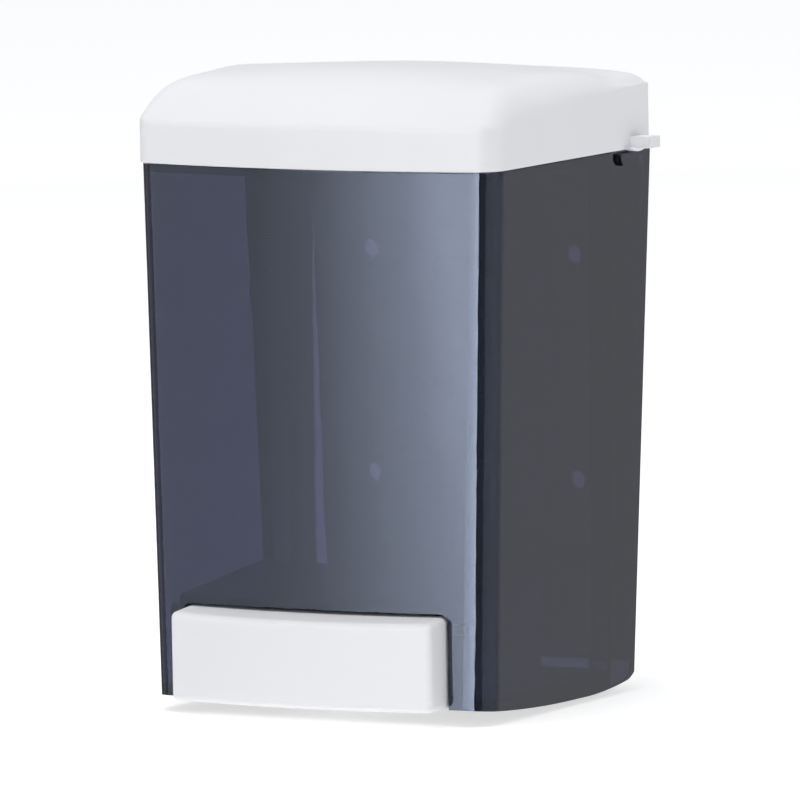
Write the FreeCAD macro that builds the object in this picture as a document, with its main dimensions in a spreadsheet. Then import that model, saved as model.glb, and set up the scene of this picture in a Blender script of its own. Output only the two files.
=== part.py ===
import FreeCAD, Part
import math
import os
import re
import Sketcher

# Wall mounted soap dispenser. Millimetres. +Z is up, the front faces -Y and the wall is the plane
# y = 0. The origin is the middle of the wall plate's back face, between its four screw holes.

DIMENSIONS = [
    # lid
    ("lid_half", 54.0, "half width of the lid"),
    ("lid_corner", 87.9, "wall to the lid's front corners"),
    ("lid_bow", 6.4, "how far the front bows out between its corners"),
    ("lid_gap", 2.3, "wall to the lid's rear edge"),
    ("lid_wall", 2.0, "wall thickness of the lid"),
    ("lid_round", 7.8, "radius of the lid's upright front corners"),
    ("rim_height", 59.6, "height of the lid's rim"),
    ("brow_round", 2.0, "rounding where the lid's front band meets the dome"),
    # tank
    ("tank_half_high", 53.3, "half width of the tank under the lid"),
    ("tank_half_low", 49.9, "half width of the tank at its foot"),
    ("tank_corner_high", 87.6, "wall to the front corners, under the lid"),
    ("tank_corner_low", 89.9, "wall to the front corners, at the foot"),
    ("tank_bow_high", 6.4, "bow of the front under the lid"),
    ("tank_bow_low", 3.6, "bow of the front at the foot"),
    ("tank_rear_high", 0.4, "wall to the rear edges, under the lid"),
    ("tank_rear_low", 8.2, "wall to the rear edges, at the foot"),
    ("tank_foot", -84.0, "height the side walls are drawn from"),
    ("tank_shoulder", 59.2, "height of the shoulder under the lid's rim"),
    ("tank_wall", 2.0, "wall thickness of the tank"),
    ("tank_round", 7.6, "radius of the tank's upright front corners"),
    ("tank_floor", -78.0, "height of the floor inside the tank"),
    ("back_wall", 20.0, "wall to the inside of the tank's back"),
    ("flank", 4.6, "thickness of the side walls behind the tank's back"),
    ("post_inside", 46.6, "middle of the tank to the rear posts' inner faces"),
    ("post_depth", 29.5, "wall to the rear posts' front"),
    ("ring_half", 51.4, "half width of the filling ring inside the lid"),
    ("ring_corner", 85.3, "wall to the ring's front corners"),
    ("ring_bow", 6.2, "bow of the ring's front"),
    ("ring_wall", 1.6, "wall thickness of the ring"),
    ("ring_top", 66.0, "height of the ring's top edge"),
    ("belly_front", -80.0, "height of the side's lower edge at the front"),
    ("belly_low", -83.4, "height of the side's lower edge at its lowest"),
    ("belly_rear", -80.6, "height of the side's lower edge at the rear"),
    # pump bay
    ("bay_half", 39.4, "half width of the pump bay"),
    ("bay_roof", -55.6, "height of the bay's roof"),
    ("bay_depth", 48.0, "wall to the bay's rear face"),
    ("bay_wall", 1.9, "wall thickness round the bay"),
    ("bay_pitch", 4.0, "rise of the roof towards the rear"),
    # push bar
    ("bar_half", 38.8, "half width of the push bar"),
    ("bar_low", -80.6, "height of the bar's lower edge"),
    ("bar_high", -57.5, "height of the bar's upper edge, at the front"),
    ("bar_crest", 1.3, "rise of the bar's top towards the rear"),
    ("bar_front", 103.8, "wall to the middle of the bar's face"),
    ("bar_bow", 4.2, "bow of the bar's face"),
    ("bar_rear", 89.2, "wall to the bar's open rear edge"),
    ("bar_wall", 2.0, "wall thickness of the bar"),
    ("bar_round", 1.8, "rounding of the bar's outer edges"),
    ("bar_pin_depth", 86.0, "wall to the bar's pivot"),
    ("bar_pin_height", -59.9, "height of the bar's pivot"),
    ("bar_pin_radius", 1.5, "radius of the bar's pivot pins"),
    # pump
    ("pump_height", -69.0, "height of the pump's axis"),
    ("pump_bore", 8.0, "radius of the pump's bore"),
    ("pump_outer", 9.6, "outer radius of the pump's barrel"),
    ("neck_radius", 7.0, "radius of the threaded neck"),
    ("spout_depth", 58.5, "wall to the middle of the spout"),
    # hinge
    ("hinge_depth", 7.5, "wall to the lid's hinge axis"),
    ("hinge_height", 74.5, "height of the lid's hinge axis"),
    ("hinge_pin", 1.5, "radius of the hinge pins"),
    ("knuckle", 2.8, "outer radius of the hinge knuckles"),
    # wall plate
    ("plate_foot_half", 44.7, "half width of the wall plate at its lower edge"),
    ("plate_head_half", 48.0, "half width of the wall plate at its upper edge"),
    ("plate_low", -78.0, "height of the wall plate's lower edge"),
    ("plate_high", 56.0, "height of the wall plate's upper edge"),
    ("plate_thick", 3.0, "thickness of the wall plate"),
    ("screw_pitch", 60.0, "spacing of the wall screws, both ways"),
    ("screw_hole", 2.6, "radius of the wall screw holes"),
]

# The dome: sections across the lid from the wall to the front, as distance from the wall, height
# of the middle, height where the side wall ends, and radius of the shoulder between them.
DOME = [
    ("a", -1.0, 79.8, 75.7, 2.4),
    ("b", 16.0, 81.7, 75.0, 5.2),
    ("c", 32.0, 82.7, 73.9, 7.3),
    ("d", 47.0, 83.2, 72.9, 9.3),
    ("e", 61.0, 83.2, 71.3, 10.5),
    ("f", 74.0, 81.2, 69.8, 9.8),
    ("g", 86.0, 76.2, 66.9, 6.2),
    ("k", 99.0, 68.4, 60.2, 6.0),
]
for name, depth, crown, side, shoulder in DOME:
    DIMENSIONS += [("dome_depth_" + name, depth, "dome section " + name + ", distance from the wall"),
                   ("dome_crown_" + name, crown, "dome section " + name + ", height of the middle"),
                   ("dome_side_" + name, side, "dome section " + name + ", height of the side wall"),
                   ("dome_round_" + name, shoulder, "dome section " + name + ", shoulder radius")]

doc = FreeCAD.newDocument("soap_dispenser")
sheet = doc.addObject("Spreadsheet::Sheet", "Dims")
for row, (alias, value, note) in enumerate(DIMENSIONS, 1):
    sheet.set("A%d" % row, note)
    sheet.set("B%d" % row, str(value))
    sheet.setAlias("B%d" % row, alias)
doc.recompute()

ALIASES = re.compile(r"\b(%s)\b" % "|".join(sorted((d[0] for d in DIMENSIONS), key=len, reverse=True)))
PLANES = {"XY": "XY_Plane", "XZ": "XZ_Plane", "YZ": "YZ_Plane"}
ORIGIN, ALONG, UP = -1, -1, -2      # sketch root point, horizontal axis, vertical axis


def ex(expression):
    """A dimension expression with every alias pointed at the spreadsheet."""
    return ALIASES.sub(r"Dims.\1", str(expression))


def num(expression):
    """The value of a dimension expression."""
    return float(sheet.evalExpression(str(expression)))


# ---------------------------------------------------------------- bodies, sketches and features

def new_body(name):
    return doc.addObject("PartDesign::Body", name)


def sketch(body, name, plane, offset="0"):
    """A sketch on one of the body's own planes; XZ offsets run towards the front."""
    sk = body.newObject("Sketcher::SketchObject", name)
    face = [f for f in body.Origin.OriginFeatures if f.Role == PLANES[plane]][0]
    sk.AttachmentSupport = [(face, "")]
    sk.MapMode = "FlatFace"
    sk.setExpression("AttachmentOffset.Base.z", ex(offset))
    doc.recompute()
    return sk


def pin_point(sk, geo, pos, x, y):
    """Ties a sketch point to its two coordinates."""
    for axis, kind, value in ((UP, "DistanceX", x), (ALONG, "DistanceY", y)):
        if abs(num(value)) < 1e-9:
            sk.addConstraint(Sketcher.Constraint("PointOnObject", geo, pos, axis))
        else:
            at = sk.addConstraint(Sketcher.Constraint(kind, ORIGIN, 1, geo, pos, num(value)))
            sk.setExpression("Constraints[%d]" % at, ex(value))


def outline(sk, points, arcs=None):
    """A closed outline through (x, y) points. arcs: leg number -> (radius, +1 left or -1 right of
    the leg for the arc's centre)."""
    arcs = arcs or {}
    here = [FreeCAD.Vector(num(x), num(y), 0) for x, y in points]
    legs = []
    for i, start in enumerate(here):
        end = here[(i + 1) % len(here)]
        if i not in arcs:
            legs.append((sk.addGeometry(Part.LineSegment(start, end), False), 1, 2))
            continue
        radius, side = num(arcs[i][0]), arcs[i][1]
        chord = end - start
        left = FreeCAD.Vector(-chord.y, chord.x, 0).normalize()
        drop = math.sqrt(max(radius ** 2 - (chord.Length / 2) ** 2, 0.0))
        centre = (start + end) * 0.5 + left * drop * side
        turn = [math.atan2(p.y - centre.y, p.x - centre.x) for p in (start, end)]
        circle = Part.Circle(centre, FreeCAD.Vector(0, 0, 1), radius)
        if side > 0:
            legs.append((sk.addGeometry(Part.ArcOfCircle(circle, turn[0], turn[1]), False), 1, 2))
        else:
            legs.append((sk.addGeometry(Part.ArcOfCircle(circle, turn[1], turn[0]), False), 2, 1))
    for i, (geo, first, last) in enumerate(legs):
        after = legs[(i + 1) % len(legs)]
        sk.addConstraint(Sketcher.Constraint("Coincident", geo, last, after[0], after[1]))
    for i, (geo, first, last) in enumerate(legs):
        pin_point(sk, geo, first, *points[i])
        if i in arcs:
            at = sk.addConstraint(Sketcher.Constraint("Radius", geo, num(arcs[i][0])))
            sk.setExpression("Constraints[%d]" % at, ex(arcs[i][0]))
    return sk


def disc(sk, x, y, radius):
    geo = sk.addGeometry(Part.Circle(FreeCAD.Vector(num(x), num(y), 0), FreeCAD.Vector(0, 0, 1),
                                     num(radius)), False)
    pin_point(sk, geo, 3, x, y)
    at = sk.addConstraint(Sketcher.Constraint("Radius", geo, num(radius)))
    sk.setExpression("Constraints[%d]" % at, ex(radius))
    return sk


def pad(body, sk, length, symmetric=False, backward=False, cut=False):
    feature = body.newObject("PartDesign::Pocket" if cut else "PartDesign::Pad",
                             sk.Name + ("_cut" if cut else "_pad"))
    feature.Profile = sk
    feature.setExpression("Length", ex(length))
    feature.SideType = "Symmetric" if symmetric else "One side"
    feature.Reversed = backward
    doc.recompute()
    return feature


def loft(body, sections, ruled=True):
    feature = body.newObject("PartDesign::AdditiveLoft", body.Name + "_loft")
    feature.Profile = sections[0]
    feature.Sections = sections[1:]
    feature.Ruled = ruled
    doc.recompute()
    return feature


def revolve(body, sk):
    """Turns a sketch about its own horizontal axis."""
    feature = body.newObject("PartDesign::Revolution", sk.Name + "_turned")
    feature.Profile = sk
    feature.ReferenceAxis = (sk, ["H_Axis"])
    feature.Angle = 360
    doc.recompute()
    return feature


def round_edges(body, radius, pick):
    """Rounds the edges of the body for which pick(edge) holds."""
    base = body.Tip
    names = ["Edge%d" % i for i, edge in enumerate(base.Shape.Edges, 1) if pick(edge)]
    if not names:
        raise RuntimeError("no edge to round on " + body.Name)
    feature = body.newObject("PartDesign::Fillet", body.Name + "_round")
    feature.Base = (base, names)
    feature.setExpression("Radius", ex(radius))
    doc.recompute()
    return feature


def middle(edge):
    return edge.valueAt((edge.FirstParameter + edge.LastParameter) / 2)


def upright(edge):
    ends = [v.Point for v in edge.Vertexes]
    return len(ends) == 2 and abs(ends[0].z - ends[1].z) > 0.9 * edge.Length


# ---------------------------------------------------------------- primitives and booleans

def box(name, x, y, z):
    """A box between (low, high) limits on each axis."""
    part = doc.addObject("Part::Box", name)
    for prop, axis, (low, high) in (("Length", "x", x), ("Width", "y", y), ("Height", "z", z)):
        part.setExpression(prop, ex("(%s) - (%s)" % (high, low)))
        part.setExpression("Placement.Base." + axis, ex(low))
    return part


def rod(name, radius, axis, start, length, at):
    """A cylinder along X, Y or Z from start; at = its other two coordinates in axis order."""
    part = doc.addObject("Part::Cylinder", name)
    part.setExpression("Radius", ex(radius))
    part.setExpression("Height", ex(length))
    place = {"X": (start, at[0], at[1]), "Y": (at[0], start, at[1]), "Z": (at[0], at[1], start)}[axis]
    turn = {"X": ((0, 1, 0), 90), "Y": ((1, 0, 0), -90), "Z": ((0, 0, 1), 0)}[axis]
    part.Placement.Rotation = FreeCAD.Rotation(FreeCAD.Vector(*turn[0]), turn[1])
    for axis_name, value in zip("xyz", place):
        part.setExpression("Placement.Base." + axis_name, ex(value))
    return part


def fuse(name, *parts):
    joined = doc.addObject("Part::MultiFuse", name)
    joined.Shapes = list(parts)
    joined.Refine = True
    return joined


def cut(name, base, *tools):
    result = doc.addObject("Part::Cut", name)
    result.Base = base
    result.Tool = tools[0] if len(tools) == 1 else fuse(name + "_tools", *tools)
    result.Refine = True
    return result


def common(name, first, second):
    result = doc.addObject("Part::Common", name)
    result.Base, result.Tool = first, second
    result.Refine = True
    return result


def cut_in_turn(name, base, tools):
    """Cuts tools that overlap each other or lie apart, one after another."""
    for i, tool in enumerate(tools):
        base = cut("%s_%d" % (name, i), base, tool)
    base.Label = name
    return base


def plan(body, name, plane_height, half, corner, bow, rear, corner_round):
    """The plan of lid and tank: straight back and sides, front bowed between two round corners."""
    sk = sketch(body, name, "XY", plane_height)
    big = "(((%s)^2 + (%s)^2) / (2 * (%s)))" % (half, bow, bow)
    rad = "(%s)" % corner_round
    reach = "(%s - %s)" % (half, rad)                       # corner arc's centre, sideways
    fall = "sqrt((%s - %s)^2 - %s^2)" % (big, rad, reach)     # ... and in front of the big centre
    back = "(%s - (%s) - (%s))" % (big, corner, bow)
    corner_y = "(%s - %s)" % (back, fall)
    join_x = "(%s * %s / (%s - %s))" % (reach, big, big, rad)
    join_y = "(%s - %s * %s / (%s - %s))" % (back, fall, big, big, rad)
    points = [("-(%s)" % half, "-(%s)" % rear), ("-(%s)" % half, corner_y), ("-" + join_x, join_y),
              (join_x, join_y), (half, corner_y), (half, "-(%s)" % rear)]
    return outline(sk, points, {1: (rad, 1), 2: (big, 1), 3: (rad, 1)})


FINISHED = []       # (object, node name)


def done(part, name):
    part.Label = name
    FINISHED.append((part, name))


# ---------------------------------------------------------------- tank

def tapered(name, low, high, corner_round=None):
    """A body between two plans, low and high = (height, half, corner, bow, rear); without a
    corner radius the plans are plain rectangles."""
    body = new_body(name)
    sections = []
    for which, (height, half, corner, bow, rear) in (("low", low), ("high", high)):
        if corner_round:
            sections.append(plan(body, name + "_" + which, height, half, corner, bow, rear, corner_round))
        else:
            sk = sketch(body, name + "_" + which, "XY", height)
            sections.append(outline(sk, [("-(%s)" % half, "-(%s)" % rear),
                                         ("-(%s)" % half, "-(%s)" % corner),
                                         (half, "-(%s)" % corner), (half, "-(%s)" % rear)]))
    loft(body, sections)
    return body


tank_low = ("tank_foot", "tank_half_low", "tank_corner_low", "tank_bow_low", "tank_rear_low")
tank_high = ("tank_shoulder", "tank_half_high", "tank_corner_high", "tank_bow_high", "tank_rear_high")
tank_hull = tapered("tank_hull", tank_low, tank_high, corner_round="tank_round")

ring = new_body("ring")
pad(ring, plan(ring, "ring_plan", "tank_shoulder - tank_wall", "ring_half", "ring_corner", "ring_bow",
               "back_wall - tank_wall", "tank_round - 2"), "ring_top - tank_shoulder + tank_wall")

core = tapered("core",
               ("tank_floor", "tank_half_low - tank_wall + 0.14", "tank_corner_low - tank_wall",
                "tank_bow_low", "back_wall"),
               ("tank_shoulder - tank_wall", "tank_half_high - tank_wall", "tank_corner_high - tank_wall",
                "tank_bow_high", "back_wall"), corner_round="tank_round - tank_wall")

# The room leaves thick upright posts standing in its rear corners.
post_block = new_body("post_block")
for way in (-1, 1):
    post = sketch(post_block, "post_sketch_%s" % ("left" if way < 0 else "right"), "XY", "tank_floor - 1")
    corners = [("%s * 56", "-(back_wall - 1)"), ("%s * post_inside", "-(back_wall - 1)"),
               ("%s * post_inside", "-post_depth"), ("%s * (post_inside + 5.5)", "-(post_depth + 5)"),
               ("%s * 56", "-(post_depth + 5)")]
    outline(post, [(x % way, y) for x, y in corners])
    pad(post_block, post, "tank_shoulder - tank_wall - tank_floor + 1")
core_room = cut("core_room", core, post_block)

mouth = new_body("mouth")
pad(mouth, plan(mouth, "mouth_plan", "tank_shoulder - tank_wall - 1", "ring_half - ring_wall",
                "ring_corner - ring_wall", "ring_bow", "back_wall", "tank_round - 3.6"), "12")

recess = tapered("recess",
                 ("tank_foot - 3", "tank_half_low - flank", "back_wall - tank_wall", "0", "-3"),
                 ("tank_shoulder - tank_wall", "tank_half_high - flank", "back_wall - tank_wall", "0", "-3"))

# The foot hangs in a shallow curve; everything below the curve goes.
belly = new_body("belly")
belly_sketch = sketch(belly, "belly_sketch", "YZ")
outline(belly_sketch, [("-96", "belly_front"), ("-38", "belly_low"), ("-12", "belly_rear - 1.2"),
                       ("-7", "belly_rear + 1.6"), ("6", "belly_rear + 8"), ("6", "-100"), ("-96", "-100")],
        {0: ("500", 1), 1: ("150", 1), 2: ("9", 1)})
pad(belly, belly_sketch, "2 * tank_half_low + 20", symmetric=True)

# Pump bay: a box let into the tank's foot, its roof rising to the rear.
bay_block = new_body("bay_block")
bay_sketch = sketch(bay_block, "bay_sketch", "YZ")
outline(bay_sketch, [("-100", "tank_floor - tank_wall"), ("-(bay_depth - bay_wall)", "tank_floor - tank_wall"),
                     ("-(bay_depth - bay_wall)", "bay_roof + bay_wall + bay_pitch"),
                     ("-88", "bay_roof + bay_wall"), ("-100", "bay_roof + bay_wall")])
pad(bay_block, bay_sketch, "2 * (bay_half + bay_wall)", symmetric=True)
bay_walls = common("bay_walls", bay_block, tank_hull)

bay_hollow = new_body("bay_hollow")
hollow_sketch = sketch(bay_hollow, "hollow_sketch", "XZ", "bay_depth")
outline(hollow_sketch, [("-bay_half", "-95"), ("bay_half", "-95"), ("bay_half", "bay_roof"),
                        ("-bay_half", "bay_roof")])
pad(bay_hollow, hollow_sketch, "60")
round_edges(bay_hollow, "2.2", lambda e: abs(middle(e).z - num("bay_roof")) < 0.1
            and abs(abs(middle(e).x) - num("bay_half")) < 0.1)

pivot = ("-bar_pin_depth", "bar_pin_height")
boss_span = "bay_half + 5"
pivot_bosses = rod("pivot_bosses", "3.4", "X", "-(%s)" % boss_span, "2 * (%s)" % boss_span, pivot)
pivot_hole = rod("pivot_hole", "bar_pin_radius", "X", "-(bay_half + 3.6)", "2 * (bay_half + 3.6)", pivot)
neck_hole = rod("neck_hole", "neck_radius + 0.3", "Y", "-(bay_depth + 1)", "4", ("0", "pump_height"))

# Catch bosses under the lid's rim, near the rear on both sides.
catch_block = new_body("catch_block")
catch_sketch = sketch(catch_block, "catch_sketch", "YZ")
outline(catch_sketch, [("-19", "tank_shoulder - 0.5"), ("-19", "tank_shoulder - 2.4"),
                       ("-17.6", "tank_shoulder - 3.8"), ("-10.8", "tank_shoulder - 3.8"),
                       ("-9.4", "tank_shoulder - 2.4"), ("-9.4", "tank_shoulder - 0.5")])
pad(catch_block, catch_sketch, "2 * (tank_half_high + 1.2)", symmetric=True)
catches = cut("catches", catch_block, box("catch_gap", ("-(tank_half_high - 1)", "tank_half_high - 1"),
                                          ("-25", "-5"), ("50", "62")))

# Hanging rail and screw bosses on the back.
rail_arm = box("rail_arm", ("-26", "26"), ("-(back_wall - tank_wall)", "-5"), ("25", "28"))
rail_lip = box("rail_lip", ("-26", "26"), ("-9.6", "-5"), ("17.4", "25"))
HINGE_SCREWS = [(-32.5, -12.5), (-14.0, -12.5), (14.0, -12.5), (32.5, -12.5)]
screw_bosses = [rod("screw_boss_%d" % i, "3.2", "Z", "50", "tank_shoulder - 50", (str(x), str(y)))
                for i, (x, y) in enumerate(HINGE_SCREWS)]
screw_holes = [rod("screw_hole_%d" % i, "1.5", "Z", "52", "10", (str(x), str(y)))
               for i, (x, y) in enumerate(HINGE_SCREWS)]

shell = cut("tank_shell", fuse("tank_solid", tank_hull, ring), fuse("tank_room", core_room, mouth))
shell = cut("tank_behind", shell, recess)
tank = fuse("tank_all", shell, bay_walls, pivot_bosses, catches, rail_arm, rail_lip, *screw_bosses)
tank = cut_in_turn("tank_open", tank, [bay_hollow, belly, pivot_hole, neck_hole] + screw_holes)
done(tank, "tank")

# ---------------------------------------------------------------- lid

def dome(name, inset):
    """The lid's solid, moved in by inset: domed sections lofted from the wall to the front."""
    body = new_body(name)
    half = "(lid_half - %s)" % inset
    foot = "(rim_height - %s)" % (0 if inset == "0" else 5)
    sections = []
    for letter, depth, crown, side, shoulder in DOME:
        top, low, rad = ("(dome_%s_%s - %s)" % (w, letter, i) for w, i in
                         (("crown", inset), ("side", inset), ("round", "0.2 * " + inset)))
        # The crown's arc meets the shoulder's arc smoothly where both share a tangent.
        crown_rad = "(((%s - %s)^2 + (%s - %s)^2 - %s^2) / (2 * (%s - %s - %s)))" % (
            half, rad, top, low, rad, top, low, rad)
        lean = "((%s - %s) / (%s - %s))" % (half, rad, crown_rad, rad)
        join_x = "(%s - %s + %s * %s)" % (half, rad, rad, lean)
        join_z = "(%s + %s * sqrt(1 - %s^2))" % (low, rad, lean)
        sk = sketch(body, "%s_%s" % (name, letter), "XZ", "dome_depth_" + letter)
        outline(sk, [("-" + half, foot), (half, foot), (half, low), (join_x, join_z),
                     ("-" + join_x, join_z), ("-" + half, low)],
                {2: (rad, 1), 3: (crown_rad, 1), 4: (rad, 1)})
        sections.append(sk)
    loft(body, sections, ruled=False)
    return body


lid_plan = new_body("lid_plan")
pad(lid_plan, plan(lid_plan, "lid_outline", "rim_height", "lid_half", "lid_corner", "lid_bow", "lid_gap",
                   "lid_round"), "40")
inner_plan = new_body("inner_plan")
pad(inner_plan, plan(inner_plan, "inner_outline", "rim_height - 2", "lid_half - lid_wall",
                     "lid_corner - lid_wall", "lid_bow", "-6", "lid_round - lid_wall"), "40")

lid_solid = common("lid_solid", dome("dome_outer", "0"), lid_plan)
lid_room = common("lid_room", dome("dome_inner", "lid_wall"), inner_plan)
doc.recompute()

# Round the brow, where the dome meets the front band, and trim the dome's rear edge round.
brow = doc.addObject("Part::Fillet", "lid_rounded")
brow.Base = lid_solid
brow.Edges = [(i, num("brow_round"), num("brow_round")) for i, edge in enumerate(lid_solid.Shape.Edges, 1)
              if middle(edge).z > num("rim_height") + 4 and middle(edge).y < -num("lid_corner") + 7
              and not upright(edge)]
nape = cut("nape", box("nape_block", ("-60", "60"), ("-lid_gap - 5.4", "5"), ("75.5", "90")),
           rod("nape_rod", "5.6", "X", "-62", "124", ("-lid_gap - 5.4", "75.5")))
doc.recompute()

hinge_at = ("-hinge_depth", "hinge_height")
corner_round = [cut("heel_%s" % s, box("heel_block_%s" % s, ("%s * lid_half - 4" % w, "%s * lid_half + 4" % w),
                                       ("-(lid_gap + 3)", "2"), ("rim_height - 1", "rim_height + 3")),
                    rod("heel_rod_%s" % s, "3", "X", "%s * lid_half - 5" % w, "10",
                        ("-(lid_gap + 3)", "rim_height + 3")))
                for s, w in (("left", -1), ("right", 1))]
tabs, arms, barrels, bores = [], [], [], []
for side, way in (("left", -1), ("right", 1)):
    def span(near, far, way=way):
        """Limits between two distances from the middle, on this side."""
        ends = ("%s * (%s)" % (way, near), "%s * (%s)" % (way, far))
        return ends if way > 0 else (ends[1], ends[0])

    tabs.append(box("tab_" + side, span("lid_half - 1", "lid_half + 6"), ("-13.3", "-7.3"),
                    ("rim_height + 0.2", "rim_height + 3.2")))
    pad_body = new_body("ear_" + side)
    ear = sketch(pad_body, "ear_sketch_" + side, "YZ", "%s * (lid_half + 0.9)" % way)
    outline(ear, [("-16.6", "rim_height + 0.4"), ("-11.4", "rim_height - 0.75"),
                  ("-6.2", "rim_height + 0.4")], {0: ("14", 1), 1: ("14", 1)})
    pad(pad_body, ear, "1.8", symmetric=True)
    tabs.append(pad_body)
    arms.append(box("lid_arm_" + side, span("28.6", "36"), ("-hinge_depth - 2.6", "-hinge_depth + 2.6"),
                    ("hinge_height", "hinge_height + 5")))
    barrels.append(rod("lid_knuckle_" + side, "knuckle", "X", span("28.6", "36")[0], "7.4", hinge_at))
    bores.append(rod("lid_bore_" + side, "hinge_pin + 0.05", "X", span("27", "38")[0], "11", hinge_at))

doc.recompute()
lid_shell = cut("lid_open", brow, lid_room)
lid_body = fuse("lid_all", lid_shell, *tabs, *arms, *barrels)
lid = cut_in_turn("lid_done", lid_body, bores + corner_round + [nape])
done(lid, "lid")

# ---------------------------------------------------------------- hinge

bracket_base = box("bracket_base", ("-36.5", "36.5"), ("-16.5", "-4"), ("tank_shoulder", "tank_shoulder + 2"))
uprights, knuckles = [], []
for side, low_x in (("left", "-28.2"), ("right", "19.8")):
    uprights.append(box("upright_" + side, (low_x, "(%s) + 8.4" % low_x),
                        ("-hinge_depth - 2.2", "-hinge_depth + 2.2"), ("tank_shoulder + 2", "hinge_height")))
    knuckles.append(rod("knuckle_" + side, "knuckle", "X", low_x, "8.4", hinge_at))
    knuckles.append(box("gusset_" + side, ("(%s) + 3" % low_x, "(%s) + 5.4" % low_x),
                        ("-hinge_depth - 7", "-hinge_depth"), ("tank_shoulder + 2", "hinge_height - 6")))
bracket = fuse("bracket_all", bracket_base, *uprights, *knuckles)
bracket_holes = [rod("bracket_bore_" + side, "hinge_pin", "X", low_x, "10.4", hinge_at)
                 for side, low_x in (("left", "-29.2"), ("right", "18.8"))]
bracket_holes += [rod("bracket_hole_%d" % i, "1.7", "Z", "tank_shoulder - 1", "5", (str(x), str(y)))
                  for i, (x, y) in enumerate(HINGE_SCREWS)]
done(cut_in_turn("bracket_done", bracket, bracket_holes), "hinge_bracket")

hinge_pins = doc.addObject("Part::Compound", "hinge_pins_group")
hinge_pins.Links = [rod("hinge_pin_left", "hinge_pin", "X", "-37", "17.6", hinge_at),
                    rod("hinge_pin_right", "hinge_pin", "X", "19.4", "17.6", hinge_at)]
done(hinge_pins, "hinge_pins")

screws = []
for i, (x, y) in enumerate(HINGE_SCREWS):
    shank = rod("hinge_shank_%d" % i, "1.5", "Z", "53", "tank_shoulder + 2 - 53", (str(x), str(y)))
    head = rod("hinge_head_%d" % i, "2.8", "Z", "tank_shoulder + 2", "1.7", (str(x), str(y)))
    slots = [box("slot_%s_%d" % (n, i), ("%g - %g" % (x, w), "%g + %g" % (x, w)),
                 ("%g - %g" % (y, 2.1 - w), "%g + %g" % (y, 2.1 - w)),
                 ("tank_shoulder + 2.8", "tank_shoulder + 4")) for n, w in (("a", 1.7), ("b", 0.4))]
    screws.append(cut("hinge_screw_%d" % i, fuse("hinge_blank_%d" % i, shank, head), *slots))
screw_group = doc.addObject("Part::Compound", "hinge_screws_group")
screw_group.Links = screws
done(screw_group, "hinge_screws")

# ---------------------------------------------------------------- wall plate

plate = new_body("plate")
plate_sketch = sketch(plate, "plate_sketch", "XZ")
outline(plate_sketch, [("-plate_foot_half", "plate_low"), ("plate_foot_half", "plate_low"),
                       ("plate_head_half", "plate_high"), ("-plate_head_half", "plate_high")])
pad(plate, plate_sketch, "plate_thick")
round_edges(plate, "3", lambda e: abs(middle(e).y + num("plate_thick") / 2) < 0.1)
round_edges(plate, "0.8", lambda e: abs(middle(e).y + num("plate_thick")) < 0.01)
hook_arm = box("hook_arm", ("-24", "24"), ("-12", "-plate_thick + 0.5"), ("14", "17"))
hook_lip = box("hook_lip", ("-24", "24"), ("-12", "-10"), ("17", "24"))
hook_ribs = [box("hook_rib_%d" % i, ("%g - 1" % x, "%g + 1" % x), ("-10", "-plate_thick + 0.5"), ("4", "14"))
             for i, x in enumerate((-20, 0, 20))]
posts = [box("post_" + side, (low_x, "%s + 7" % low_x), ("-17", "-plate_thick + 0.5"), ("-38", "-24"))
         for side, low_x in (("left", "-17"), ("right", "10"))]
plate_all = fuse("plate_all", plate, hook_arm, hook_lip, *hook_ribs, *posts)
spots = [(x, z) for z in (-1, 1) for x in (-1, 1)]
plate_holes = []
for i, (x, z) in enumerate(spots):
    where = ("%d * screw_pitch / 2" % x, "%d * screw_pitch / 2" % z)
    plate_holes.append(rod("wall_hole_%d" % i, "screw_hole", "Y", "-6", "8", where))
done(cut_in_turn("plate_done", plate_all, plate_holes), "wall_plate")

pads = doc.addObject("Part::Compound", "post_pads_group")
pads.Links = [box("post_pad_" + side, ("%s + 1" % low_x, "%s + 6" % low_x), ("-18", "-17"), ("-37", "-25"))
              for side, low_x in (("left", "-17"), ("right", "10"))]
done(pads, "plate_pads")

# ---------------------------------------------------------------- push bar

bar = new_body("bar")
bar_sketch = sketch(bar, "bar_sketch", "XY", "bar_low")
outline(bar_sketch, [("-bar_half", "-bar_rear"), ("-bar_half", "-(bar_front - bar_bow)"),
                     ("bar_half", "-(bar_front - bar_bow)"), ("bar_half", "-bar_rear")],
        {1: ("(bar_half^2 + bar_bow^2) / (2 * bar_bow)", 1)})
pad(bar, bar_sketch, "bar_high + bar_crest - bar_low")
slope = sketch(bar, "bar_slope", "YZ")
outline(slope, [("-110", "bar_high - 0.6"), ("-bar_rear + 1", "bar_high + bar_crest"), ("-bar_rear + 1", "-50"),
                ("-110", "-50")])
pad(bar, slope, "2 * bar_half + 10", symmetric=True, cut=True)
round_edges(bar, "bar_round", lambda e: middle(e).y < -num("bar_rear") - 1)
bar_room = new_body("bar_room")
room_sketch = sketch(bar_room, "room_sketch", "XY", "bar_low + bar_wall")
outline(room_sketch, [("-(bar_half - bar_wall)", "-(bar_rear - 3)"),
                      ("-(bar_half - bar_wall)", "-(bar_front - bar_bow - bar_wall)"),
                      ("bar_half - bar_wall", "-(bar_front - bar_bow - bar_wall)"),
                      ("bar_half - bar_wall", "-(bar_rear - 3)")],
        {1: ("(bar_half^2 + bar_bow^2) / (2 * bar_bow)", 1)})
pad(bar_room, room_sketch, "bar_high - bar_low - 2 * bar_wall")
bar_cap = cut("bar_cap", bar, bar_room)
lugs = []
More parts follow.
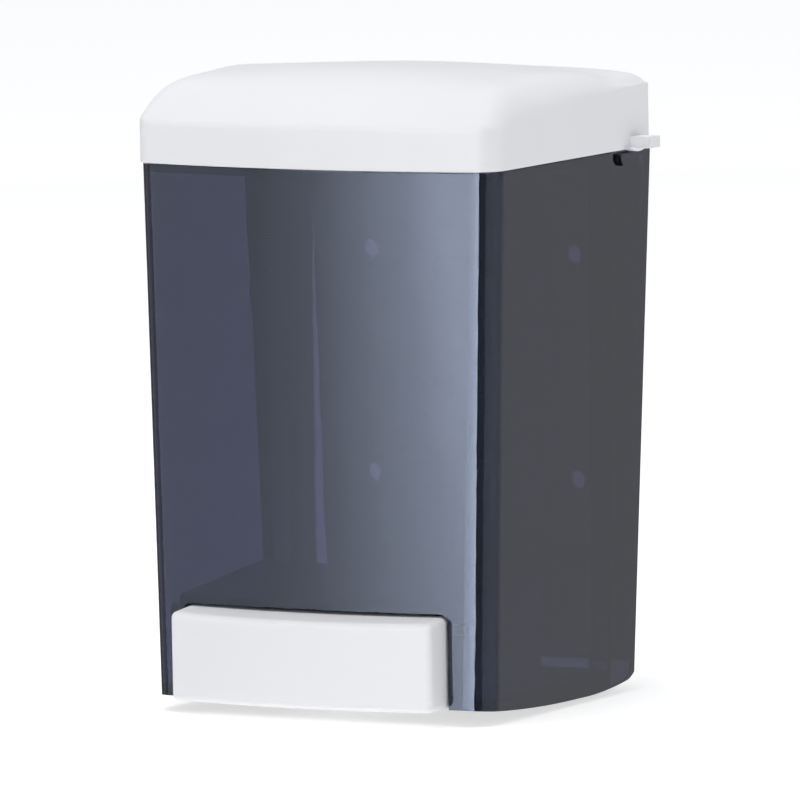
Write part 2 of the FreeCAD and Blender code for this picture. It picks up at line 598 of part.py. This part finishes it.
for side, low_x in (("left", "-(bar_half)"), ("right", "bar_half - 5")):
    lugs.append(box("lug_" + side, (low_x, "%s + 5" % low_x), ("-94", "-bar_pin_depth"),
                    ("bar_pin_height - 2.4", "bar_pin_height + 2.4")))
    lugs.append(rod("lug_eye_" + side, "2.4", "X", low_x, "5", pivot))
push_post = box("push_post", ("-5", "5"), ("-102", "-85.3"), ("pump_height - 3", "pump_height + 3"))
push_nose = rod("push_nose", "3", "X", "-5", "10", ("-85.3", "pump_height"))
bar_ribs = [box("bar_rib_%d" % i, ("%g - 0.8" % x, "%g + 0.8" % x), ("-100", "-92"),
                ("bar_low + 1", "bar_high - 1")) for i, x in enumerate((-22, 22))]
bar_all = fuse("bar_all", bar_cap, *lugs, push_post, push_nose, *bar_ribs)
bar_bore = rod("bar_bore", "bar_pin_radius + 0.05", "X", "-50", "100", pivot)
done(cut("bar_done", bar_all, bar_bore), "push_bar")

bar_pins = doc.addObject("Part::Compound", "bar_pins_group")
bar_pins.Links = [rod("bar_pin_left", "bar_pin_radius", "X", "-(bay_half + 3.5)", "bay_half + 3.5 - 33", pivot),
                  rod("bar_pin_right", "bar_pin_radius", "X", "33", "bay_half + 3.5 - 33", pivot)]
done(bar_pins, "bar_pins")

# ---------------------------------------------------------------- pump, turned about its own axis

def turned(name, points, arcs=None):
    """A part turned about the pump's axis from (y, radius) points."""
    body = new_body(name + "_body")
    revolve(body, outline(sketch(body, name + "_sketch", "YZ"), points, arcs))
    body.setExpression("Placement.Base.z", ex("pump_height"))
    return body


barrel = turned("barrel", [
    ("-70", "pump_bore"), ("-70", "pump_outer"), ("-51.5", "pump_outer"), ("-51.5", "11.4"), ("-49.5", "11.4"),
    ("-49.5", "neck_radius"), ("-42", "neck_radius"), ("-42", "5"), ("-38", "5"), ("-38", "2.6"),
    ("-44.5", "2.6"), ("-44.5", "4.3"), ("-54", "4.3"), ("-54", "pump_bore")])
spout = rod("spout", "5", "Z", "-80.5", "80.5 + pump_height - 1", ("0", "-spout_depth"))
barrel_room = rod("barrel_room", "pump_bore", "Y", "-70", "16", ("0", "pump_height"))
spout_bore = rod("spout_bore", "2.4", "Z", "-82", "82 + pump_height", ("0", "-spout_depth"))
done(cut_in_turn("pump_done", fuse("pump_all", barrel, spout), [barrel_room, spout_bore]), "pump_body")

done(turned("gasket", [("-49.5", "neck_radius + 0.4"), ("-49.5", "11"), ("-48", "11"),
                       ("-48", "neck_radius + 0.4")]), "neck_gasket")
done(turned("cap", [("-72", "4.9"), ("-72", "10.8"), ("-66", "10.8"), ("-66", "pump_outer"),
                    ("-70", "pump_outer"), ("-70", "4.9")]), "pump_cap")
piston = turned("piston_blank", [
    ("-82", "0"), ("-82", "8.5"), ("-80", "8.5"), ("-80", "4.8"), ("-67", "4.8"), ("-67", "7.95"),
    ("-65.1", "7.95"), ("-65.1", "6.2"), ("-62.9", "6.2"), ("-62.9", "7.95"), ("-61", "7.95"), ("-61", "0")])
done(piston, "piston")
done(turned("seal", [("-65", "6.25"), ("-65", "7.5"), ("-64.3", "7.95"), ("-63.7", "7.95"), ("-63", "7.5"),
                     ("-63", "6.25")]), "piston_seal")

nut = new_body("nut")
nut_sketch = sketch(nut, "nut_sketch", "XZ", "42.3")
across = [("%g" % (10.2 * math.cos(math.radians(a))), "%g" % (10.2 * math.sin(math.radians(a))))
          for a in (0, 60, 120, 180, 240, 300)]
outline(nut_sketch, [(x, "0" if abs(float(y)) < 1e-6 else y) for x, y in across])
disc(nut_sketch, "0", "0", "neck_radius")
pad(nut, nut_sketch, "3.7")
nut.setExpression("Placement.Base.z", ex("pump_height"))
done(nut, "neck_nut")

cage = turned("cage", [("-55.5", "0"), ("-55.5", "pump_bore"), ("-54", "pump_bore"), ("-54", "0")])
cage_holes = [rod("cage_hole_%d" % i, "1.2", "Y", "-57", "5",
                  ("%g" % (3.0 * math.cos(math.radians(a))), "pump_height + %g" % (3.0 * math.sin(math.radians(a)))))
              for i, a in enumerate((45, 135, 225, 315))]
done(cut_in_turn("cage_done", cage, cage_holes), "ball_cage")

ball = doc.addObject("Part::Sphere", "ball")
ball.setExpression("Radius", "3.6")
ball.setExpression("Placement.Base.y", "-47.3")
ball.setExpression("Placement.Base.z", ex("pump_height"))
done(ball, "inlet_ball")

strainer = turned("strainer_blank", [("-41.6", "5"), ("-41.6", "6.4"), ("-32", "6.4"), ("-32", "0"),
                                     ("-33.5", "0"), ("-33.5", "5")])
slots = [box("strainer_slot_a%d" % i, ("-7", "7"), ("%g" % y, "%g + 0.9" % y), ("pump_height - 3", "pump_height + 3"))
         for i, y in enumerate((-37.4, -35.6))]
slots += [box("strainer_slot_b%d" % i, ("-3", "3"), ("%g" % y, "%g + 0.9" % y), ("pump_height - 7", "pump_height + 7"))
          for i, y in enumerate((-37.4, -35.6))]
done(cut_in_turn("strainer_done", strainer, slots), "inlet_strainer")

# Return spring round the piston rod, between the pump cap and the piston's head.
coil = doc.addObject("Part::Helix", "coil")
coil.Pitch, coil.Height, coil.Radius = 2.4, 6.4, 6.4
wire = doc.addObject("Part::Circle", "wire")
wire.Radius = 0.5
wire.Placement = FreeCAD.Placement(FreeCAD.Vector(6.4, 0, 0), FreeCAD.Rotation(FreeCAD.Vector(1, 0, 0), 90))
spring = doc.addObject("Part::Sweep", "spring")
doc.recompute()
spring.Sections = [wire]
spring.Spine = (coil, ["Edge%d" % i for i in range(1, len(coil.Shape.Edges) + 1)])
spring.Solid, spring.Frenet = True, True
spring.Placement = FreeCAD.Placement(FreeCAD.Vector(0, -79.2, 0), FreeCAD.Rotation(FreeCAD.Vector(1, 0, 0), -90))
spring.setExpression("Placement.Base.z", ex("pump_height"))
done(spring, "return_spring")

# Outlet: a soft duckbill held on the spout by a screwed collar.
duck_at = ("0", "-spout_depth")
flange = rod("duck_flange", "5", "Z", "-81.7", "1.2", duck_at)
tip = doc.addObject("Part::Cone", "duck_tip")
tip.Radius1, tip.Radius2, tip.Height = 1.6, 3.0, 3.0
tip.setExpression("Placement.Base.y", ex("-spout_depth"))
tip.Placement.Base.z = -84.7
duck_room = rod("duck_room", "1.3", "Z", "-84", "5", duck_at)
slit = box("duck_slit", ("-1.1", "1.1"), ("-spout_depth - 0.15", "-spout_depth + 0.15"), ("-86", "-83"))
done(cut_in_turn("duck_done", fuse("duck_all", flange, tip), [duck_room, slit]), "outlet_duckbill")
collar = rod("collar_blank", "6.6", "Z", "-83", "4.2", duck_at)
collar_rooms = [rod("collar_room_a", "5", "Z", "-81.7", "6", duck_at),
                rod("collar_room_b", "3.1", "Z", "-84", "4", duck_at)]
grips = [rod("grip_%d" % i, "0.5", "Z", "-84", "8",
             ("%g" % (6.8 * math.cos(math.radians(30 * i))), "-spout_depth + %g" % (6.8 * math.sin(math.radians(30 * i)))))
         for i in range(12)]
done(cut_in_turn("collar_done", collar, collar_rooms + grips), "outlet_collar")

# Rubber stops under the bay's roof, which the bar's top comes to rest against.
bumpers = doc.addObject("Part::Compound", "bar_stops_group")
bumpers.Links = [rod("bar_stop_" + side, "2", "Z", "bar_high + bar_crest + 0.1",
                         "bay_roof - bar_high - bar_crest - 0.1", (x, "-88"))
                 for side, x in (("left", "-28"), ("right", "28"))]
done(bumpers, "bar_stops")

# ---------------------------------------------------------------- check and write

doc.recompute()
broken = [o.Name for o in doc.Objects if {"Invalid", "Error"} & set(o.State)]
if broken:
    raise RuntimeError("objects in error: " + ", ".join(broken))
os.makedirs("parts", exist_ok=True)
for part, name in FINISHED:
    shape = part.Shape
    if shape.isNull() or not shape.isValid():
        raise RuntimeError("bad shape: " + name)
    shape.exportStep("parts/%s.step" % name)
    bounds = shape.BoundBox
    print("%-18s solids %d volume %9.1f  x %7.2f %7.2f  y %7.2f %7.2f  z %7.2f %7.2f" % (
        name, len(shape.Solids), shape.Volume, bounds.XMin, bounds.XMax, bounds.YMin, bounds.YMax,
        bounds.ZMin, bounds.ZMax))
print("nodes", len(FINISHED))
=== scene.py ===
import math

import bpy
from mathutils import Matrix, Vector


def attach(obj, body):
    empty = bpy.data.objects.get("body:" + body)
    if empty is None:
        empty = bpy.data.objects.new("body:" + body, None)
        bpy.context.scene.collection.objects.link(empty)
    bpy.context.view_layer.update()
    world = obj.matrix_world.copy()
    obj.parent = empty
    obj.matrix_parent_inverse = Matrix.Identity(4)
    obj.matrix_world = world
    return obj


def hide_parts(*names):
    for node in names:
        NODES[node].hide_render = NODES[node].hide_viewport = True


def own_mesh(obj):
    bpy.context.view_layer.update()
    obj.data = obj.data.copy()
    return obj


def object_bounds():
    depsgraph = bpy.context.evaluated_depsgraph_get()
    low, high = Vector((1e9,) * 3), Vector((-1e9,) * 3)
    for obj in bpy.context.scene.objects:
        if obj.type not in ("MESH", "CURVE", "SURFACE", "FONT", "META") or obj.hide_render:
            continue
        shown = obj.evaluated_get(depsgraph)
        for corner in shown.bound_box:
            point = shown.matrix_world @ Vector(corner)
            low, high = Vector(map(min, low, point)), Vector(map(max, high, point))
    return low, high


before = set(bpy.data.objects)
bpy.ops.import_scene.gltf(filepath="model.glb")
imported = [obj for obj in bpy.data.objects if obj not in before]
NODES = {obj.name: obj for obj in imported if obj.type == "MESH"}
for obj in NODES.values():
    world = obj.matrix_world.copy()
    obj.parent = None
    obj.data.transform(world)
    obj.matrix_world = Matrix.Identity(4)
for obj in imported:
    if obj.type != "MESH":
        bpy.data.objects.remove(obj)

CAD_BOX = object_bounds()


# ---------------------------------------------------------------- shader helpers
class Shader:
    """A node material under construction, with short calls for the nodes used here."""

    def __init__(self, name):
        self.material = bpy.data.materials.new(name)
        self.material.use_nodes = True
        self.tree = self.material.node_tree
        self.surface = self.tree.nodes["Principled BSDF"]
        self.output = self.tree.nodes["Material Output"]
        self.place = None

    def node(self, kind, **settings):
        made = self.tree.nodes.new(kind)
        for name, value in settings.items():
            setattr(made, name, value)
        return made

    def link(self, source, target):
        self.tree.links.new(source, target)

    def set(self, **values):
        """Plain values on the Principled node's own sockets."""
        for name, value in values.items():
            self.surface.inputs[name.replace("_", " ")].default_value = value
        return self

    def where(self, stretch=(1.0, 1.0, 1.0)):
        """Object coordinates in metres, optionally stretched along an axis."""
        if self.place is None:
            self.place = self.node("ShaderNodeTexCoord")
        if stretch == (1.0, 1.0, 1.0):
            return self.place.outputs["Object"]
        mapping = self.node("ShaderNodeMapping")
        mapping.inputs["Scale"].default_value = stretch
        self.link(self.place.outputs["Object"], mapping.inputs["Vector"])
        return mapping.outputs["Vector"]

    def noise(self, scale, detail, stretch=(1.0, 1.0, 1.0)):
        made = self.node("ShaderNodeTexNoise")
        made.inputs["Scale"].default_value = scale
        made.inputs["Detail"].default_value = detail
        self.link(self.where(stretch), made.inputs["Vector"])
        return made.outputs["Fac"]

    def cells(self, scale):
        made = self.node("ShaderNodeTexVoronoi")
        made.inputs["Scale"].default_value = scale
        self.link(self.where(), made.inputs["Vector"])
        return made.outputs["Distance"]

    def spread(self, source, low, high, start=0.3, end=0.7):
        """Maps a 0-1 pattern on to low-high."""
        made = self.node("ShaderNodeMapRange")
        for name, value in (("From Min", start), ("From Max", end), ("To Min", low), ("To Max", high)):
            made.inputs[name].default_value = value
        self.link(source, made.inputs["Value"])
        return made.outputs["Result"]

    def tint(self, source, *stops):
        """Colours along a pattern, as (place, (r, g, b)) stops."""
        made = self.node("ShaderNodeValToRGB")
        ramp = made.color_ramp
        while len(ramp.elements) < len(stops):
            ramp.elements.new(0.5)
        for element, (at, colour) in zip(ramp.elements, stops):
            element.position = at
            element.color = (*colour, 1.0)
        self.link(source, made.inputs["Fac"])
        return made.outputs["Color"]

    def bumps(self, *layers):
        """Stacks (height pattern, height in metres, strength) layers into the normal."""
        normal = None
        for height, distance, strength in layers:
            made = self.node("ShaderNodeBump")
            made.inputs["Strength"].default_value = strength
            made.inputs["Distance"].default_value = distance
            self.link(height, made.inputs["Height"])
            if normal is not None:
                self.link(normal, made.inputs["Normal"])
            normal = made.outputs["Normal"]
        self.link(normal, self.surface.inputs["Normal"])
        return self

    def drive(self, name, source):
        """Lets a pattern drive one of the Principled node's sockets."""
        self.link(source, self.surface.inputs[name])
        return self

    def colour(self, scale, detail, dark, light):
        """A base colour that wanders between two near ones."""
        return self.drive("Base Color", self.tint(self.noise(scale, detail), (0.3, dark), (0.7, light)))

    def polish(self, scale, detail, low, high, stretch=(1.0, 1.0, 1.0), **ends):
        """A roughness that wanders between low and high."""
        pattern = self.noise(scale, detail, stretch=stretch)
        return self.drive("Roughness", self.spread(pattern, low, high, **ends))


# ---------------------------------------------------------------- finishes
def smoked_plastic():
    s = Shader("smoked_plastic")
    s.set(Transmission_Weight=1.0, IOR=1.49, Specular_Tint=(0.68, 0.78, 1.0, 1.0))
    s.colour(9.0, 3.0, (0.90, 0.91, 0.95), (0.99, 0.99, 1.0))
    s.polish(60.0, 4.0, 0.02, 0.06)
    s.bumps((s.noise(14.0, 1.0), 0.004, 0.02))
    dye = s.node("ShaderNodeVolumeAbsorption")
    dye.inputs["Color"].default_value = (0.44, 0.43, 0.56, 1.0)
    dye.inputs["Density"].default_value = 1500.0
    s.link(dye.outputs["Volume"], s.output.inputs["Volume"])
    return s.material


def white_plastic():
    s = Shader("white_plastic")
    s.set(IOR=1.5, Specular_IOR_Level=0.09)
    s.colour(22.0, 3.0, (0.785, 0.788, 0.80), (0.80, 0.803, 0.815))
    s.polish(320.0, 1.0, 0.36, 0.44, start=0.0, end=1.0)
    s.bumps((s.noise(1400.0, 2.0), 0.0001, 0.05))
    return s.material


def grey_plastic():
    s = Shader("grey_plastic")
    s.set(IOR=1.5)
    s.colour(30.0, 4.0, (0.028, 0.028, 0.032), (0.040, 0.040, 0.045))
    s.polish(200.0, 4.0, 0.42, 0.58)
    s.bumps((s.cells(2600.0), 0.0002, 0.25))
    return s.material


def pump_plastic():
    s = Shader("pump_plastic")
    s.set(IOR=1.5, Subsurface_Weight=0.15, Subsurface_Scale=0.002)
    s.colour(60.0, 3.0, (0.66, 0.66, 0.62), (0.74, 0.74, 0.70))
    s.polish(300.0, 3.0, 0.32, 0.46)
    s.bumps((s.noise(1500.0, 2.0), 0.0002, 0.08))
    return s.material


def steel():
    s = Shader("steel")
    s.set(Metallic=1.0)
    s.colour(200.0, 4.0, (0.50, 0.50, 0.51), (0.62, 0.62, 0.62))
    s.polish(900.0, 3.0, 0.22, 0.42, stretch=(1.0, 1.0, 8.0))
    s.bumps((s.noise(2500.0, 2.0, stretch=(1.0, 1.0, 6.0)), 0.0001, 0.10))
    return s.material


def ball_steel():
    s = Shader("ball_steel")
    s.set(Metallic=1.0)
    s.colour(300.0, 3.0, (0.60, 0.60, 0.61), (0.70, 0.70, 0.70))
    s.polish(1200.0, 3.0, 0.06, 0.14)
    return s.material


def black_rubber():
    s = Shader("black_rubber")
    s.colour(120.0, 4.0, (0.016, 0.016, 0.017), (0.035, 0.035, 0.036))
    s.polish(400.0, 4.0, 0.6, 0.82)
    s.bumps((s.noise(1800.0, 3.0), 0.0003, 0.2))
    return s.material


def clear_rubber():
    s = Shader("clear_rubber")
    s.set(IOR=1.42, Subsurface_Weight=0.4, Subsurface_Scale=0.002)
    s.colour(90.0, 3.0, (0.55, 0.50, 0.40), (0.64, 0.60, 0.50))
    s.polish(500.0, 3.0, 0.3, 0.45)
    s.bumps((s.noise(1500.0, 2.0), 0.0002, 0.1))
    return s.material


FINISHES = {
    made.__name__: made()
    for made in (
        smoked_plastic, white_plastic, grey_plastic, pump_plastic,
        steel, ball_steel, black_rubber, clear_rubber,
    )
}

for node in NODES.values():
    for slot in node.material_slots:
        slot.material = FINISHES[slot.material.name.split(".")[0]]


# ---------------------------------------------------------------- pieces that stand for CAD nodes
def placed(name, data):
    """A new object in the scene."""
    made = bpy.data.objects.new(name, data)
    bpy.context.scene.collection.objects.link(made)
    return made


def twin(node, name):
    """A free copy of a CAD node's mesh, in the node's place."""
    cad = NODES[node]
    copy = placed(name, cad.data.copy())
    copy.matrix_world = cad.matrix_world.copy()
    bpy.context.view_layer.update()
    return copy


def smoothly(value, low, high):
    """0 below low, 1 above high, and smooth between."""
    part = min(max((value - low) / (high - low), 0.0), 1.0)
    return part * part * (3.0 - 2.0 * part)


# The lid's skin is the CAD lid with its rear corners settled and its front shoulders filled out.
# The drop and the rise are met where the lid is SHOULDER_X out from the middle, and grow beyond it.
SHOULDER_X = 0.050
REAR_DROP, REAR_FROM, REAR_FULL = 0.0018, -0.030, -0.010
REAR_LOW, REAR_HIGH = 0.0755, 0.0793
FRONT_RISE, FRONT_Y, FRONT_WIDTH = 0.0016, -0.078, 0.011
FRONT_LOW, FRONT_HIGH = 0.067, 0.077


def skin_shift(at):
    """How far a point of the lid moves upwards."""
    out = abs(at.x) / SHOULDER_X
    drop = REAR_DROP * out ** 3 * smoothly(at.y, REAR_FROM, REAR_FULL) * smoothly(at.z, REAR_LOW, REAR_HIGH)
    rise = FRONT_RISE * out ** 2 * math.exp(-((at.y - FRONT_Y) / FRONT_WIDTH) ** 2)
    return rise * smoothly(at.z, FRONT_LOW, FRONT_HIGH) - drop


lid_skin = twin("lid", "lid_skin")
to_mesh = lid_skin.matrix_world.inverted()
for point in lid_skin.data.vertices:
    at = lid_skin.matrix_world @ point.co
    at.z += skin_shift(at)
    point.co = to_mesh @ at
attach(lid_skin, "lid_body")
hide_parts("lid")

# The spring is a free copy of the CAD spring, fixed to the housing, with a mesh of its own.
spring = twin("return_spring", "spring_coils")
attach(spring, "housing")
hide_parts("return_spring")
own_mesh(spring)


# ---------------------------------------------------------------- camera
AZIMUTH = math.radians(29.0)
ELEVATION = math.radians(6.03)
ROLL = math.radians(-1.07)
AIM = Vector((0.0, -0.04452, -0.00441))
DISTANCE = 3.2534
ACROSS, DOWN = 0.00073, 0.00124
SENSOR_WIDTH, LENS = 36.0, 555.1

back = Vector((
    math.sin(AZIMUTH) * math.cos(ELEVATION),
    -math.cos(AZIMUTH) * math.cos(ELEVATION),
    math.sin(ELEVATION),
))
right = Vector((math.cos(AZIMUTH), math.sin(AZIMUTH), 0.0))
up = back.cross(right)
right, up = (
    right * math.cos(ROLL) + up * math.sin(ROLL),
    up * math.cos(ROLL) - right * math.sin(ROLL),
)
camera = placed("camera", bpy.data.cameras.new("camera"))
camera.data.sensor_width = SENSOR_WIDTH
camera.data.lens = LENS
camera.data.clip_start, camera.data.clip_end = 0.1, 60.0
eye = AIM + right * ACROSS - up * DOWN + back * DISTANCE
camera.matrix_world = Matrix.Translation(eye) @ Matrix((right, up, back)).transposed().to_4x4()
bpy.context.scene.camera = camera


# ---------------------------------------------------------------- floor and backdrop
def stage_mesh(name, corners, faces, material):
    """A piece of the studio, in one material."""
    mesh = bpy.data.meshes.new(name)
    mesh.from_pydata(corners, [], faces)
    mesh.materials.append(material)
    made = placed(name, mesh)
    return made


def hide_from(made, *rays):
    for kind in rays:
        setattr(made, "visible_" + kind, False)


def glowing_paint(name, roughness, glow, dark, light):
    """Grey paint that also gives off white light, so that it looks evenly white."""
    s = Shader(name)
    s.set(Roughness=roughness, Emission_Color=(1.0, 1.0, 1.0, 1.0), Emission_Strength=glow)
    s.colour(0.7, 2.0, dark, light)
    return s.material


FLOOR_HALF = 14.0
FLOOR_Z = CAD_BOX[0].z - 0.0003
BACKDROP_AWAY, BACKDROP_TALL, BACKDROP_SIDES = 13.5, 9.0, 64


def floor():
    corners = [(x * FLOOR_HALF, y * FLOOR_HALF, FLOOR_Z) for x, y in ((-1, -1), (1, -1), (1, 1), (-1, 1))]
    paint = glowing_paint("floor_paint", 0.75, 0.64, (0.53, 0.53, 0.53), (0.55, 0.55, 0.55))
    hide_from(stage_mesh("floor", corners, [(0, 1, 2, 3)], paint), "glossy")


def backdrop():
    """A pale ring all round, so that low views show no horizon."""
    paint = glowing_paint("backdrop_paint", 0.9, 1.0, (0.04, 0.04, 0.04), (0.05, 0.05, 0.05))
    corners = []
    for side in range(BACKDROP_SIDES):
        turn = 2 * math.pi * side / BACKDROP_SIDES
        for height in (FLOOR_Z - 0.001, BACKDROP_TALL):
            corners.append((math.sin(turn) * BACKDROP_AWAY, math.cos(turn) * BACKDROP_AWAY, height))
    count = len(corners)
    faces = [(i, (i + 2) % count, (i + 3) % count, i + 1) for i in range(0, count, 2)]
    hide_from(stage_mesh("backdrop", corners, faces, paint), "diffuse", "glossy", "shadow", "volume_scatter")


floor()
backdrop()


# ---------------------------------------------------------------- light
SKY_COLOUR, SKY_STRENGTH = (0.94, 0.96, 1.0, 1.0), 0.56
KEY_AT, KEY_TOWARDS = Vector((-0.05, -0.24, 1.6)), Vector((0.0, -0.14, 0.0))
KEY_SIZE, KEY_POWER, KEY_COLOUR = (0.6, 0.5), 14.4, (1.0, 0.99, 0.98)

# Tall curved reflectors round the object, seen only in glossy surfaces: azimuth and glow colour.
CARDS = {
    "front_card": (
        (-70.0, (1.55, 1.55, 1.55)),
        (-36.0, (1.85, 1.85, 1.85)),
        (-27.0, (2.70, 2.70, 2.70)),
        (-20.0, (4.50, 4.50, 4.50)),
        (-12.0, (6.70, 6.70, 6.80)),
        (-7.0, (9.20, 9.20, 9.40)),
        (6.0, (9.80, 9.80, 10.0)),
        (33.0, (13.0, 13.1, 13.4)),
    ),
    "side_card": (
        (60.0, (1.35, 1.35, 1.40)),
        (100.0, (1.45, 1.45, 1.50)),
        (125.0, (0.90, 0.90, 0.92)),
        (170.0, (0.72, 0.72, 0.74)),
    ),
    "dark_card": (
        (-170.0, (0.20, 0.20, 0.22)),
        (-105.0, (0.16, 0.16, 0.18)),
    ),
}
CARD_AWAY, CARD_HALF, CARD_STEPS = 1.6, 1.0, 24
BRIGHTEST = 14.0


def sky():
    world = bpy.data.worlds.new("studio")
    bpy.context.scene.world = world
    world.use_nodes = True
    background = world.node_tree.nodes["Background"]
    background.inputs["Color"].default_value = SKY_COLOUR
    background.inputs["Strength"].default_value = SKY_STRENGTH


def key_light():
    """A soft lamp above the object, a little in front of it."""
    data = bpy.data.lights.new("key", "AREA")
    data.shape = "RECTANGLE"
    data.size, data.size_y = KEY_SIZE
    data.energy = KEY_POWER
    data.color = KEY_COLOUR
    made = placed("key", data)
    made.location = KEY_AT
    made.rotation_euler = (KEY_TOWARDS - KEY_AT).to_track_quat("-Z", "Y").to_euler()
    hide_from(made, "camera", "glossy")


def card_light(name, table):
    """A glow that follows a table of azimuths and colours along the reflector."""
    s = Shader(name + "_light")
    glow = s.node("ShaderNodeEmission")
    glow.inputs["Strength"].default_value = BRIGHTEST
    along = s.node("ShaderNodeSeparateXYZ")
    s.link(s.node("ShaderNodeTexCoord").outputs["UV"], along.inputs[0])
    first, last = table[0][0], table[-1][0]
    stops = [((at - first) / (last - first), tuple(part / BRIGHTEST for part in colour))
             for at, colour in table]
    s.link(s.tint(along.outputs["X"], *stops), glow.inputs["Color"])
    s.link(glow.outputs[0], s.output.inputs["Surface"])
    return s.material


def around(azimuth, height):
    """A point on the reflectors' circle, round the upright line through the camera's aim."""
    angle = math.radians(azimuth)
    return (AIM.x + math.sin(angle) * CARD_AWAY, AIM.y - math.cos(angle) * CARD_AWAY, height)


def reflector(name, table):
    first, last = table[0][0], table[-1][0]
    places = [first + (last - first) * i / CARD_STEPS for i in range(CARD_STEPS + 1)]
    corners = [around(at, side * CARD_HALF) for at in places for side in (-1, 1)]
    faces = [(2 * i, 2 * i + 2, 2 * i + 3, 2 * i + 1) for i in range(CARD_STEPS)]
    made = stage_mesh(name, corners, faces, card_light(name, table))
    layer = made.data.uv_layers.new(name="along")
    for loop in made.data.loops:
        layer.data[loop.index].uv = (loop.vertex_index // 2 / CARD_STEPS, loop.vertex_index % 2)
    hide_from(made, "camera", "diffuse", "shadow", "transmission")


sky()
key_light()
for card, glow_table in CARDS.items():
    reflector(card, glow_table)

bpy.context.scene.view_settings.view_transform = "Standard"
